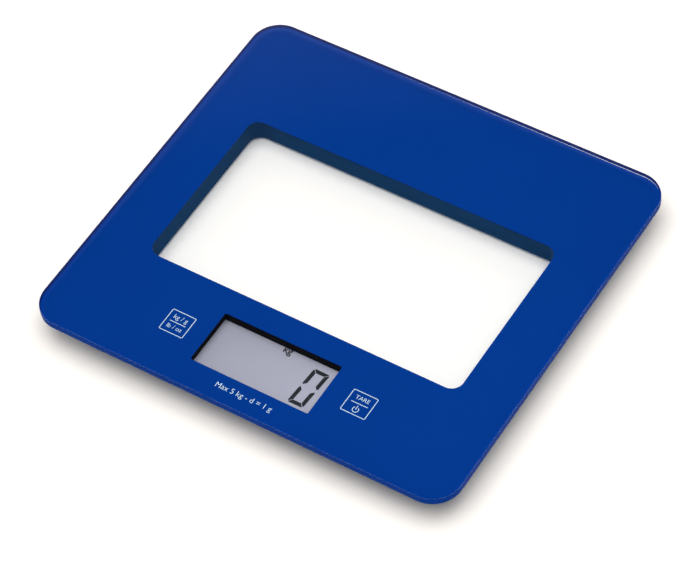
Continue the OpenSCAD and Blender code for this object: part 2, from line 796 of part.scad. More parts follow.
module foot(c) {
    color([0.1, 0.1, 0.11]) at_foot(c) rotate_extrude() difference() {
        union() {
            translate([0, z_foot]) square([foot_r - foot_rim, z_flange - z_foot]);
            translate([0, z_foot + foot_rim]) square([foot_r, z_flange - z_foot - foot_rim]);
            translate([foot_r - foot_rim, z_foot + foot_rim]) circle(foot_rim);
            translate([0, z_flange]) square([flange_r, flange_t]);
            translate([0, z_flange]) square([stem_r, z_cell - z_flange]);
            translate([0, z_flange]) square([peg_r, z_cell + peg_h - z_flange]);
        }
        translate([0, z_foot]) square([pad_r + pad_fit, pad_seat]);
    }
}

module foot_pad(c) {
    color([0.2, 0.2, 0.21]) at_foot(c) rotate_extrude() {
        square([pad_r - pad_round, pad_t]);
        translate([0, pad_round]) square([pad_r, pad_t - pad_round]);
        translate([pad_r - pad_round, pad_round]) circle(pad_round);
    }
}

// Pan head screw that stands on its head, with a cross recess
module pan_screw(shank_r, shank_l, top_r, top_h) {
    difference() {
        union() {
            rotate_extrude() {
                translate([0, top_h / 2]) square([top_r, top_h / 2]);
                square([top_r - top_h / 2, top_h / 2]);
                translate([top_r - top_h / 2, top_h / 2]) intersection() {
                    circle(top_h / 2);
                    translate([0, -top_h / 2]) square(top_h / 2);
                }
            }
            cylinder(r = shank_r, h = top_h + shank_l);
        }
        for (a = [0, 90]) rotate(a)
            translate([-drive_l / 2, -drive_w / 2, -cut]) cube([drive_l, drive_w, drive_h + cut]);
    }
}

module cover_screws() {
    color("silver") for (p = screw_places)
        translate([p[0], p[1], z_head]) pan_screw(screw_r, seat_t + screw_grip, head_r, head_h);
}

module board_screws() {
    color("silver") for (p = board_screw_places)
        translate([p[0], p[1], z_board - board_head_h])
            pan_screw(board_screw_r, board_t + board_screw_grip, board_head_r, board_head_h);
}

// Lead along a flat route with square turns; the child is its cross-section
module lead_along(route) {
    last = len(route) - 1;
    function heading(i) = (route[i + 1] - route[i]) / norm(route[i + 1] - route[i]);
    for (i = [0:last - 1]) {
        from = route[i] + heading(i) * (i == 0 ? 0 : bend_r);
        to = route[i + 1] - heading(i) * (i == last - 1 ? 0 : bend_r);
        translate([from[0], from[1], z_lead]) rotate([90, 0, 90 + atan2(heading(i)[1], heading(i)[0])])
            linear_extrude(norm(to - from)) children();
    }
    if (last > 1) for (i = [1:last - 1]) {
        before = heading(i - 1);
        after = heading(i);
        middle = route[i] + bend_r * (after - before);
        left_turn = before[0] * after[1] - before[1] * after[0] > 0;
        start = left_turn ? atan2(-after[1], -after[0]) : atan2(before[1], before[0]);
        translate([middle[0], middle[1], z_lead]) rotate(start)
            rotate_extrude(angle = 90) translate([bend_r, 0]) children();
    }
}

// Cross-section of a flat lead with three cores
module three_cores() {
    for (i = [-1:1]) translate([i * core_pitch, 0]) circle(core_r, $fn = 32);
}

module sensor_lead(c) {
    front_route = [
        [c[0] * (foot_x - gauge_end), -foot_y],
        [c[0] * board_w / 2, -foot_y]
    ];
    rear_route = [
        [c[0] * foot_x, foot_y - gauge_end],
        [c[0] * foot_x, rear_turn_y],
        [c[0] * lane_sensor, rear_turn_y],
        [c[0] * lane_sensor, front_sensor_y],
        [c[0] * board_w / 2, front_sensor_y]
    ];
    color("dimgray") lead_along(c[1] > 0 ? rear_route : front_route) three_cores();
}

module battery_lead_red() {
    route = [
        [red_start_x, bat_y - tail_w / 2],
        [red_start_x, rear_red_y],
        [-lane_red, rear_red_y],
        [-lane_red, front_red_y],
        [-board_w / 2, front_red_y]
    ];
    color("firebrick") lead_along(route) circle(wire_r, $fn = 32);
}

module battery_lead_black() {
    route = [
        [-contact_w / 2, rear_black_y],
        [-lane_black, rear_black_y],
        [-lane_black, front_black_y],
        [-board_w / 2, front_black_y]
    ];
    color([0.1, 0.1, 0.1]) lead_along(route) circle(wire_r, $fn = 32);
}

glass_platform();
printed_film();
adhesive_sheet();
upper_frame();
bottom_cover();
battery_cap();
coin_cell();
battery_contact_positive();
battery_contact_negative();
main_board();
board_components();
lead_sockets();
lcd_panel();
lcd_bezel();
zebra_strip();
touch_spring(-1);  // touch_spring_left
touch_spring(1);  // touch_spring_right
strain_gauges();
cover_screws();
board_screws();
for (i = [0:3]) {
    load_cell(corners[i]);
    foot(corners[i]);
    foot_pad(corners[i]);
    sensor_lead(corners[i]);
}
battery_lead_red();
battery_lead_black();
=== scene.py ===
"""Looks of a flat glass gram scale, dressed around its packed construction.

The plate, its back print, the white marks, the figures of the display, the
foot pads and the skins of the mouldings are modelled here, in metres and in
the frame of the construction. Inner parts keep their solids and get finishes.
"""

import logging
import math
from dataclasses import dataclass
from enum import Enum
from functools import cache
from typing import Any, Callable, Optional

import bmesh
import bpy
from mathutils import Euler, Matrix, Vector


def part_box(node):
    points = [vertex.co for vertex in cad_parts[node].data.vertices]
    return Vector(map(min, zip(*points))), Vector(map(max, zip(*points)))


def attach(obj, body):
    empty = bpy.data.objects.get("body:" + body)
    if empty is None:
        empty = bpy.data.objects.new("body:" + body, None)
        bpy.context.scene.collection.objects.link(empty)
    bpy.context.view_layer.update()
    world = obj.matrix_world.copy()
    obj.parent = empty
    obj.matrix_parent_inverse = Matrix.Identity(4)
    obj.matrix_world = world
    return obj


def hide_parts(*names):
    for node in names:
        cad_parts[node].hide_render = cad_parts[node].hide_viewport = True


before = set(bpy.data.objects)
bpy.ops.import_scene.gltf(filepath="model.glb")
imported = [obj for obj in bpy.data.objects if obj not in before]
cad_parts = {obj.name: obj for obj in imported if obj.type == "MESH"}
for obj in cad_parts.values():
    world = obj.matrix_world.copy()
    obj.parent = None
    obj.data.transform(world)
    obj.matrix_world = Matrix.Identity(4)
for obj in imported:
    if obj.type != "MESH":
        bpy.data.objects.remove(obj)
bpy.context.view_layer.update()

Pair = tuple[float, float]
Vec3 = tuple[float, float, float]
Colour = tuple[float, float, float, float]
Piece = bpy.types.Object
Material = bpy.types.Material
Socket = bpy.types.NodeSocket
Edge = bmesh.types.BMEdge
EdgeTest = Callable[[Edge], bool]

MM = 0.001
# Places nearer to each other than this are the same
NEAR = 1e-6
# Share of its length along Z from which an edge or a normal is upright
UPRIGHT = 0.99
# Corners of a solid nearer to each other than this are merged
MERGE = 0.0005 * MM
# Steps of each curve of a letter
LETTER_STEPS = 4
# Range that most of a noise takes up, and the range of a share
MID = (0.3, 0.7)
UNIT = (0.0, 1.0)
# Length of a pair of bands at scale 1
BAND_LENGTH = 0.314
# Round corners of the plate and of the print on its back
PLATE_CORNER = 13.0 * MM
CORNER_STEPS = 32

HOUSING = "housing"
CAP_BODY = "battery_cap"
log = logging.getLogger("gram_scale")


class Corner(Enum):
    """The four corners that carry a foot."""

    FRONT_LEFT = "front_left"
    FRONT_RIGHT = "front_right"
    REAR_LEFT = "rear_left"
    REAR_RIGHT = "rear_right"


class Axis(Enum):
    """Directions in which a sheet is rolled or bands follow each other."""

    X = 0
    Y = 1


class Element(Enum):
    """What a selection is made of, and its name in a mesh."""

    EDGE = "edges"
    FACE = "faces"


def around(middle: float, half: float) -> Pair:
    """Range about a middle."""
    return (middle - half, middle + half)


def srgb(*channels: int) -> Colour:
    """Linear colour, with full alpha, of a screen colour whose channels go up to 255."""
    shares = [value / 255.0 for value in channels]
    levels = [share / 12.92 if share <= 0.04045 else ((share + 0.055) / 1.055) ** 2.4 for share in shares]
    return (*levels, 1.0)


def shade(colour: Colour, share: float) -> Colour:
    """The colour made darker or lighter by a share."""
    return (colour[0] * share, colour[1] * share, colour[2] * share, 1.0)


# Node trees


class NodeTree:
    """A node tree, put together by short calls."""

    def __init__(self, tree: bpy.types.NodeTree) -> None:
        """Start with the tree empty.

        Args:
            tree: the node tree of a material or a world.
        """
        self.nodes = tree.nodes
        self.links = tree.links
        self.nodes.clear()

    def add(self, kind: str, inputs: dict[Any, Any], **settings: Any) -> bpy.types.Node:
        """Add a node.

        Args:
            kind: node type.
            inputs: values or sockets by input name or number.
            settings: properties of the node.

        Returns:
            The new node.
        """
        node = self.nodes.new(kind)
        for key, value in settings.items():
            setattr(node, key, value)
        for key, value in inputs.items():
            if isinstance(value, Socket):
                self.links.new(value, node.inputs[key])
            else:
                node.inputs[key].default_value = value
        return node

    def step(self, operation: str, *values: Any) -> Socket:
        """Result of one step of arithmetic."""
        return self.add("ShaderNodeMath", dict(enumerate(values)), operation=operation).outputs[0]

    def vector(self, operation: str, *values: Any) -> bpy.types.NodeOutputs:
        """Results of one step of vector arithmetic."""
        return self.add("ShaderNodeVectorMath", dict(enumerate(values)), operation=operation).outputs

    def span(self, value: Socket, source: Pair = MID, target: Pair = UNIT, curve: str = "LINEAR") -> Socket:
        """Map a value from one range to another, clamped.

        Args:
            value: the value.
            source: its range.
            target: the range wanted.
            curve: how the value goes from one end to the other.

        Returns:
            The mapped value.
        """
        inputs = {"Value": value, "From Min": source[0], "From Max": source[1],
                  "To Min": target[0], "To Max": target[1]}
        return self.add("ShaderNodeMapRange", inputs, interpolation_type=curve).outputs["Result"]

    def blend(self, share: Socket, first: Socket, second: Socket) -> Socket:
        """Shader between two, by a share."""
        return self.add("ShaderNodeMixShader", {0: share, 1: first, 2: second}).outputs["Shader"]


class Recipe(NodeTree):
    """One material's node tree, on object coordinates."""

    def __init__(self, name: str) -> None:
        """Start an empty material.

        Args:
            name: name of the material.
        """
        self.material = bpy.data.materials.new(name)
        self.material.use_nodes = True
        super().__init__(self.material.node_tree)
        self.output = self.nodes.new("ShaderNodeOutputMaterial")
        self.place = self.nodes.new("ShaderNodeTexCoord").outputs["Object"]

    def noise(self, size: float, detail: float, stretch: Optional[Vec3] = None) -> Socket:
        """Cloudy pattern.

        Args:
            size: size of its features in metres.
            detail: number of finer layers.
            stretch: scale of the coordinates along each axis.

        Returns:
            A value around a half.
        """
        place = self.place
        if stretch:
            place = self.add("ShaderNodeMapping", {"Vector": place, "Scale": stretch}).outputs["Vector"]
        inputs = {"Vector": place, "Scale": 1.0 / size, "Detail": detail}
        return self.add("ShaderNodeTexNoise", inputs).outputs["Fac"]

    def tint(self, share: Socket, first: Any, second: Any) -> Socket:
        """Colour between two, by a share."""
        return self.add("ShaderNodeMix", {0: share, 6: first, 7: second}, data_type="RGBA").outputs[2]

    def clouded(self, cloud: Socket, colour: Colour, spread: float, level: float = 1.0) -> Socket:
        """Colour that varies with a noise, about a level of it."""
        low, high = around(level, spread)
        return self.tint(self.span(cloud), shade(colour, low), shade(colour, high))

    def relief(self, height: Socket, depth: float) -> Socket:
        """Normal of a fine relief, of a height from 0 to 1 and a depth in metres."""
        inputs = {"Height": height, "Strength": 1.0, "Distance": depth}
        return self.add("ShaderNodeBump", inputs).outputs["Normal"]

    def end(self, shader: Socket) -> None:
        """Link a shader to the output."""
        self.links.new(shader, self.output.inputs["Surface"])

    def surface(self, inputs: dict[str, Any]) -> Socket:
        """Principled surface, linked to the output."""
        shader = self.add("ShaderNodeBsdfPrincipled", inputs).outputs["BSDF"]
        self.end(shader)
        return shader


# Finishes


@dataclass(frozen=True)
class Finish:
    """What a surface is made of: the name of its material, and its colour."""

    name: str
    colour: Colour

    def fill(self, recipe: Recipe) -> None:
        """Put the nodes into the material."""
        raise NotImplementedError

    @cache
    def material(self) -> Material:
        """The material, made once."""
        recipe = Recipe(self.name)
        self.fill(recipe)
        return recipe.material


@dataclass(frozen=True)
class Moulding(Finish):
    """Moulded plastic or rubber with a fine eroded grain, in clouds of many grains."""

    roughness: float = 0.45
    grain: float = 0.35 * MM
    depth: float = 0.006 * MM
    mottle: float = 0.06
    specular: float = 0.5
    variation: float = 0.06
    cloud_grains: float = 40.0

    def fill(self, recipe: Recipe) -> None:
        """Put the nodes into the material."""
        fine = recipe.noise(self.grain, 4.0)
        cloud = recipe.noise(self.cloud_grains * self.grain, 3.0)
        recipe.surface({
            "Base Color": recipe.clouded(cloud, self.colour, self.mottle),
            "Roughness": recipe.span(fine, MID, around(self.roughness, self.variation)),
            "Specular IOR Level": self.specular,
            "Normal": recipe.relief(fine, self.depth),
        })


@dataclass(frozen=True)
class SheetMetal(Finish):
    """Rolled or turned metal, a little stained, with fine lines drawn out along one axis."""

    roughness: float = 0.3
    axis: Axis = Axis.X
    line: float = 0.25 * MM
    depth: float = 0.002 * MM
    drawn: float = 0.04
    variation: Pair = (-0.08, 0.1)
    stain: float = 3.0 * MM
    stain_range: Pair = (0.35, 0.7)
    stain_shade: float = 0.82

    def fill(self, recipe: Recipe) -> None:
        """Put the nodes into the material."""
        stretch = [1.0, 1.0, 1.0]
        stretch[self.axis.value] = self.drawn
        lines = recipe.noise(self.line, 3.0, tuple(stretch))
        stained = recipe.span(recipe.noise(self.stain, 4.0), self.stain_range)
        low, high = [self.roughness + part for part in self.variation]
        recipe.surface({
            "Base Color": recipe.tint(stained, self.colour, shade(self.colour, self.stain_shade)),
            "Metallic": 1.0,
            "Roughness": recipe.span(lines, MID, (low, high)),
            "Normal": recipe.relief(lines, self.depth),
        })


@dataclass(frozen=True)
class BoardLaminate(Finish):
    """Circuit board: lacquer over copper tracks that run one way or the other in patches."""

    track: Colour
    pitch: float = 2.54 * MM
    wander: float = 0.6
    track_edge: Pair = (0.68, 0.74)
    patch: float = 9.0 * MM
    patch_edge: Pair = (0.42, 0.44)
    weave: float = 0.4 * MM
    roughness: Pair = (0.28, 0.42)
    depth: float = 0.03 * MM

    def fill(self, recipe: Recipe) -> None:
        """Put the nodes into the material."""

        def bands(axis: Axis) -> Socket:
            """Tracks that follow each other along an axis."""
            inputs = {"Vector": recipe.place, "Scale": BAND_LENGTH / self.pitch, "Distortion": self.wander}
            wave = recipe.add("ShaderNodeTexWave", inputs, bands_direction=axis.name)
            return recipe.span(wave.outputs["Fac"], self.track_edge)

        cells = recipe.add("ShaderNodeTexVoronoi", {"Vector": recipe.place, "Scale": 1.0 / self.patch})
        choice = recipe.span(cells.outputs["Distance"], self.patch_edge)
        tracks = recipe.add("ShaderNodeMix", {0: choice, 2: bands(Axis.X), 3: bands(Axis.Y)}).outputs[0]
        recipe.surface({
            "Base Color": recipe.tint(tracks, self.colour, self.track),
            "Roughness": recipe.span(recipe.noise(self.weave, 2.0), MID, self.roughness),
            "Normal": recipe.relief(tracks, self.depth),
        })


@dataclass(frozen=True)
class ClearGlass(Finish):
    """Polished float glass with finely ground edges."""

    ior: float = 1.52
    edge_roughness: Pair = (0.272, 0.32)
    ground: float = 0.3 * MM
    flat: Pair = (0.97, 0.995)

    def fill(self, recipe: Recipe) -> None:
        """Put the nodes into the material; light goes straight through it to what lies below."""
        upright = recipe.nodes.new("ShaderNodeNewGeometry").outputs["True Normal"]
        level = recipe.step("ABSOLUTE", recipe.add("ShaderNodeSeparateXYZ", {"Vector": upright}).outputs["Z"])
        edge = recipe.span(recipe.noise(self.ground, 2.0), MID, self.edge_roughness)
        body = recipe.surface({
            "Base Color": self.colour,
            "Roughness": recipe.step("MULTIPLY", edge, recipe.span(level, self.flat, (1.0, 0.0))),
            "IOR": self.ior,
            "Transmission Weight": 1.0,
        })
        path = recipe.nodes.new("ShaderNodeLightPath").outputs
        clear = recipe.add("ShaderNodeBsdfTransparent", {"Color": self.colour}).outputs["BSDF"]
        bounced = recipe.blend(path["Is Diffuse Ray"], body, clear)
        recipe.end(recipe.blend(path["Is Shadow Ray"], bounced, clear))


@dataclass(frozen=True)
class ScreenInk(Finish):
    """Screen printed ink, with the slight unevenness of a print."""

    unevenness: float = 0.05
    roughness: float = 0.5
    specular: float = 0.0
    variation: float = 0.1
    cloud: float = 60.0 * MM
    dot: float = 0.25 * MM

    def colouring(self, recipe: Recipe) -> Socket:
        """Colour of the ink, a little cloudy."""
        return recipe.clouded(recipe.noise(self.cloud, 2.0), self.colour, self.unevenness)

    def fill(self, recipe: Recipe) -> None:
        """Put the nodes into the material."""
        dots = recipe.noise(self.dot, 1.0)
        recipe.surface({
            "Base Color": self.colouring(recipe),
            "Roughness": recipe.span(dots, MID, around(self.roughness, self.variation)),
            "Specular IOR Level": self.specular,
        })


@dataclass(frozen=True, kw_only=True)
class BackInk(ScreenInk):
    """Screen printed ink on the back of a plate, painted paler near its outline as painted light, standing in
    for light that comes in through the plate's edge.

    The outline's corners turn about those of the core, a rectangle given by its half sizes.
    """

    core: Pair
    corner: float
    reach: float = 1.9 * MM
    # painted light: how much paler the ink is painted near the outline
    painted_light_gain: float = 1.45

    def colouring(self, recipe: Recipe) -> Socket:
        """Colour of the ink by its distance from the rounded outline, with painted light near the outline.

        Args:
            recipe: the material's tree.

        Returns:
            The colour.
        """
        # A metre in Z leaves the height out of the distance
        away = recipe.vector("ABSOLUTE", recipe.place)["Vector"]
        away = recipe.vector("SUBTRACT", away, (*self.core, 1.0))["Vector"]
        away = recipe.vector("MAXIMUM", away, (0.0, 0.0, 0.0))["Vector"]
        lit = recipe.span(recipe.vector("LENGTH", away)["Value"], (self.corner - self.reach, self.corner))
        # painted light: near the outline the ink is raised to a paler, lit colour
        return recipe.tint(lit, super().colouring(recipe), shade(self.colour, self.painted_light_gain))


@dataclass(frozen=True)
class DisplayFace(Finish):
    """Reflective display glass under a satin polariser."""

    reach: float = 28.0 * MM
    # painted shade and light: how much darker the left end and paler the right end are painted
    painted_light_drift: float = 0.06
    unevenness: float = 0.02
    cloud: float = 25.0 * MM
    satin: float = 0.08 * MM
    depth: float = 0.0008 * MM
    roughness: Pair = (0.3, 0.4)
    specular: float = 0.15

    def fill(self, recipe: Recipe) -> None:
        """Put the nodes into the material; the face is painted darker at its left end and paler towards its
        right end, as painted shade and light.
        """
        cloud = recipe.noise(self.cloud, 2.0)
        satin = recipe.noise(self.satin, 2.0)
        place = recipe.add("ShaderNodeSeparateXYZ", {"Vector": recipe.place}).outputs["X"]
        # painted shade and light: colour levels for the darker left end and the paler right end
        levels = around(1.0, self.painted_light_drift)
        ends = [recipe.clouded(cloud, self.colour, self.unevenness, level) for level in levels]
        recipe.surface({
            "Base Color": recipe.tint(recipe.span(place, around(0.0, self.reach)), *ends),
            "Roughness": recipe.span(satin, MID, self.roughness),
            "Specular IOR Level": self.specular,
            "Normal": recipe.relief(satin, self.depth),
        })


@dataclass(frozen=True)
class TableTop(Finish):
    """White table that keeps the shadow and is clear from below."""

    seen: Colour = (1.25, 1.19, 1.125, 1.0)
    roughness: float = 0.9

    def fill(self, recipe: Recipe) -> None:
        """Put the nodes into the material."""
        path = recipe.nodes.new("ShaderNodeLightPath").outputs
        seen = recipe.step("MAXIMUM", path["Is Camera Ray"], path["Is Glossy Ray"])
        seen = recipe.step("MAXIMUM", seen, path["Is Transmission Ray"])
        body = recipe.surface({
            "Base Color": recipe.tint(seen, self.colour, self.seen),
            "Roughness": self.roughness,
            "Specular IOR Level": 0.0,
        })
        below = recipe.nodes.new("ShaderNodeNewGeometry").outputs["Backfacing"]
        skip = recipe.step("MAXIMUM", below, path["Is Shadow Ray"])
        clear = recipe.add("ShaderNodeBsdfTransparent", {}).outputs["BSDF"]
        recipe.end(recipe.blend(skip, body, clear))


# Modelling by hand


def clear_selection() -> None:
    """Leave nothing selected, the loaded construction included."""
    bpy.ops.object.select_all(action="DESELECT")


def take(piece: Piece) -> None:
    """Select one object and make it the active one."""
    clear_selection()
    piece.select_set(True)
    bpy.context.view_layer.objects.active = piece


def settle(name: str) -> Piece:
    """Name the active object, and put its place into its mesh.

    Args:
        name: name of the piece.

    Returns:
        The piece, at the origin, unturned and unscaled.
    """
    piece = bpy.context.view_layer.objects.active
    bpy.ops.object.transform_apply(location=True, rotation=True, scale=True)
    piece.name = name
    piece.data.name = name
    return piece


def pick(piece: Piece, kind: Element, test: Callable[[Any], bool]) -> None:
    """Go into edit mode with the elements selected that pass a test.

    Args:
        piece: the piece.
        kind: edges or faces.
        test: says whether an element is wanted.
    """
    take(piece)
    bpy.ops.object.mode_set(mode="EDIT")
    bpy.ops.mesh.select_mode(type=kind.name)
    bpy.ops.mesh.select_all(action="DESELECT")
    mesh = bmesh.from_edit_mesh(piece.data)
    for element in getattr(mesh, kind.value):
        if test(element):
            element.select_set(True)
    bmesh.update_edit_mesh(piece.data)


def round_edges(piece: Piece, test: EdgeTest, radius: float, steps: int) -> None:
    """Round or chamfer the edges that pass a test.

    Args:
        piece: the piece.
        test: says whether an edge is wanted.
        radius: radius of the rounding, or width of a chamfer of one step.
        steps: number of faces across the rounding.
    """
    pick(piece, Element.EDGE, test)
    bpy.ops.mesh.bevel(offset_type="OFFSET", offset=radius, segments=steps, profile=0.5, affect="EDGES",
                       clamp_overlap=False)
    bpy.ops.object.mode_set(mode="OBJECT")


def is_upright(edge: Edge) -> bool:
    """Whether an edge runs along Z."""
    run = edge.verts[1].co - edge.verts[0].co
    return abs(run.z) > UPRIGHT * run.length


def at_height(height: float) -> EdgeTest:
    """Test for edges that lie level at a height."""

    def test(edge: Edge) -> bool:
        """Whether both ends are at the height."""
        return all(abs(end.co.z - height) < NEAR for end in edge.verts)

    return test


def slab(name: str, low: Vec3, high: Vec3, corner: float = 0.0, steps: int = 8) -> Piece:
    """A plate or bar with rounded upright corners.

    Args:
        name: name of the piece.
        low: its lowest corner.
        high: its highest corner.
        corner: radius of the upright edges.
        steps: faces across each corner.

    Returns:
        The piece.
    """
    clear_selection()
    centre = [(a + b) / 2.0 for a, b in zip(low, high)]
    bpy.ops.mesh.primitive_cube_add(size=1.0, location=centre)
    bpy.context.view_layer.objects.active.scale = [b - a for a, b in zip(low, high)]
    piece = settle(name)
    if corner > 0.0:
        round_edges(piece, is_upright, corner, steps)
    return piece


def disc(name: str, centre: Vec3, radius: float, height: float, sides: int = 48) -> Piece:
    """A round plate.

    Args:
        name: name of the piece.
        centre: middle of its lower face.
        radius: its radius.
        height: its height.
        sides: number of sides.

    Returns:
        The piece.
    """
    clear_selection()
    middle = (centre[0], centre[1], centre[2] + height / 2.0)
    bpy.ops.mesh.primitive_cylinder_add(vertices=sides, radius=radius, depth=height, location=middle)
    return settle(name)


def cut(piece: Piece, *tools: Piece) -> None:
    """Cut tools out of a piece, and throw the tools away.

    Args:
        piece: the piece.
        tools: what is cut out of it.
    """
    for tool in tools:
        modifier = piece.modifiers.new("cut", "BOOLEAN")
        modifier.operation = "DIFFERENCE"
        modifier.solver = "EXACT"
        modifier.object = tool
        take(piece)
        bpy.ops.object.modifier_apply(modifier=modifier.name)
        bpy.data.objects.remove(tool, do_unlink=True)


def join(name: str, pieces: list[Piece]) -> Piece:
    """Make one piece of several.

    Args:
        name: name of the new piece.
        pieces: the pieces.

    Returns:
        The joined piece.
    """
    clear_selection()
    for piece in pieces:
        piece.select_set(True)
    bpy.context.view_layer.objects.active = pieces[0]
    bpy.ops.object.join()
    return settle(name)


def smooth(piece: Piece, angle: float = 35.0) -> None:
    """Shade a piece smooth up to an angle, with even normals on its flats.

    Args:
        piece: the piece.
        angle: angle in degrees from which an edge stays sharp.
    """
    take(piece)
    bpy.ops.object.shade_smooth_by_angle(angle=math.radians(angle), keep_sharp_edges=True)
    modifier = piece.modifiers.new("even_normals", "WEIGHTED_NORMAL")
    modifier.keep_sharp = True
    bpy.ops.object.modifier_apply(modifier=modifier.name)


def skin(node: str, name: str) -> Piece:
    """A merged, smoothly shaded copy of a node of the construction.

    Args:
        node: name of the node.
        name: name of the copy.

    Returns:
        The copy, which replaces the node.
    """
    piece = bpy.data.objects.new(name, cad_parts[node].data.copy())
    bpy.context.scene.collection.objects.link(piece)
    take(piece)
    bpy.ops.object.mode_set(mode="EDIT")
    bpy.ops.mesh.select_all(action="SELECT")
    bpy.ops.mesh.remove_doubles(threshold=MERGE)
    bpy.ops.object.mode_set(mode="OBJECT")
    smooth(piece)
    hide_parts(node)
    return piece


@dataclass(frozen=True)
class Legend:
    """Flat lettering: its words, their width, the x of their middle and the y of their baseline."""

    name: str
    words: str
    width: float
    middle: float
    baseline: float

    def build(self, low: float, height: float, weight: float) -> Piece:
        """Model the lettering.

        Args:
            low: z of its underside.
            height: thickness.
            weight: how much the strokes are thickened, as a share of the letter size.

        Returns:
            The piece.
        """
        clear_selection()
        bpy.ops.object.text_add(location=(0.0, 0.0, 0.0))
        text = bpy.context.view_layer.objects.active
        text.data.body = self.words
        text.data.size = 1.0
        text.data.offset = weight
        text.data.extrude = 0.5
        text.data.resolution_u = LETTER_STEPS
        bpy.ops.object.convert(target="MESH")
        piece = bpy.context.view_layer.objects.active
        across = [corner[0] for corner in piece.bound_box]
        share = self.width / (max(across) - min(across))
        left = self.middle - share * (max(across) + min(across)) / 2.0
        piece.scale = (share, share, height)
        piece.location = (left, self.baseline, low + height / 2.0)
        return settle(self.name)


def finish(piece: Piece, look: Finish, body: str) -> None:
    """Give a piece its finish, its body and its slot, and report it.

    Args:
        piece: the piece.
        look: its finish.
        body: body of the construction that it moves with.
    """
    piece.data.materials.clear()
    piece.data.materials.append(look.material())
    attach(piece, body)
    log.info("piece %s: %d faces, on %s", piece.name, len(piece.data.polygons), body)


def dress(look: Finish, *nodes: str) -> None:
    """Give nodes of the construction their finish, and report them.

    Args:
        look: the finish.
        nodes: names of the nodes.
    """
    for node in nodes:
        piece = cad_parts[node]
        if piece.material_slots:
            for slot in piece.material_slots:
                slot.material = look.material()
        else:
            piece.data.materials.append(look.material())
        log.info("node %s: %s", node, look.name)


# Sub-assemblies


@dataclass
class GlassPlate:
    """The clear plate that carries the load, and the lacquer on its edge.

    The roll is the fall of the upper face towards its edges, as widths and drops.
    """

    top_edge: float = 0.3 * MM
    lower_edge: float = 0.4 * MM
    coat: float = 0.02 * MM
    wetting: float = 0.03 * MM
    lip: float = 0.7 * MM
    rear_lip: float = 0.42 * MM
    lip_turn: float = 0.073
    roll: tuple[Pair, ...] = ((2.6 * MM, 0.11 * MM), (2.4 * MM, 0.05 * MM))
    edge_steps: int = 8
    sharp: float = 40.0
    glass: ClearGlass = ClearGlass("clear_float_glass", (0.98, 0.992, 1.0, 1.0))
    lacquer: ScreenInk = ScreenInk("blue_edge_lacquer", (0.0008, 0.045, 0.3, 1.0), 0.05, 0.3, 0.01)

    def brim(self) -> float:
        """Height of the upper face at the plate's edge."""
        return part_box("glass_platform")[1].z - sum(drop for _, drop in self.roll)

    def layer(self, name: str, inset: float, bottom: float, top: float) -> Piece:
        """A slab with the plate's outline, set in from it, from one height to another."""
        low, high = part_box("glass_platform")
        return slab(name, (low.x + inset, low.y + inset, bottom), (high.x - inset, high.y - inset, top),
                    PLATE_CORNER - inset, CORNER_STEPS)

    def build_lacquer(self) -> Piece:
        """Model the lacquer on the side and the ground lower edge, wetted by the glass.

        Returns:
            The lacquer.
        """
        low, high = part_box("glass_platform")
        inset = self.coat + self.wetting
        bottom, top = low.z - self.coat, self.brim() - self.top_edge
        floor = bottom + inset + self.coat
        band = self.layer("edge_lacquer", 0.0, bottom, top)
        round_edges(band, at_height(bottom), self.lower_edge + self.coat, self.edge_steps)
        core = self.layer("edge_core", inset, floor, top + MM)
        round_edges(core, at_height(floor), self.lower_edge - self.coat, self.edge_steps)
        lip_core = slab("lip_core", (low.x + self.lip, low.y + self.lip, bottom - MM),
                        (high.x - self.lip, high.y - self.rear_lip, top + MM), PLATE_CORNER - self.lip,
                        CORNER_STEPS)
        lip_core.data.transform(Matrix.Rotation(math.radians(self.lip_turn), 4, "Z"))
        cut(band, core, lip_core)
        smooth(band)
        return band

    def roll_top(self, plate: Piece, brim: float) -> None:
        """Let the upper face fall off softly towards its edges, as polished glass does.

        Args:
            plate: the plate.
            brim: z of its flat upper face, which becomes that of its edge.
        """

        def on_top(face: bmesh.types.BMFace) -> bool:
            """Whether a face is the flat upper one."""
            return face.normal.z > UPRIGHT and abs(face.calc_center_median().z - brim) < NEAR

        pick(plate, Element.FACE, on_top)
        for width, drop in self.roll:
            bpy.ops.mesh.inset(thickness=width, depth=drop, use_even_offset=True)
        bpy.ops.object.mode_set(mode="OBJECT")

    def build(self) -> Piece:
        """Model the plate with round corners and rounded edges.

        Returns:
            The plate.
        """
        bottom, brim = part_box("glass_platform")[0].z, self.brim()
        plate = self.layer("glass_plate", self.coat, bottom, brim)
        self.roll_top(plate, brim)
        round_edges(plate, at_height(brim), self.top_edge, self.edge_steps)
        round_edges(plate, at_height(bottom), self.lower_edge, self.edge_steps)
        smooth(plate, self.sharp)
        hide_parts("glass_platform")
        return plate

    def dress(self) -> None:
        """Build the plate and its edge, and give them their finishes."""
        finish(self.build(), self.glass, HOUSING)
        finish(self.build_lacquer(), self.lacquer, HOUSING)


@dataclass(frozen=True)
class Window:
    """A clear window of the print: its size, the y of its middle and the radius of its corners."""

    name: str
    size: Pair
    y: float
    corner: float
    steps: int = 12

    def cutter(self, low: float, high: float) -> Piece:
        """Cutter for the window, from one height to another."""
        x, y = around(0.0, self.size[0] / 2.0), around(self.y, self.size[1] / 2.0)
        return slab(self.name, (x[0], y[0], low), (x[1], y[1], high), self.corner, self.steps)


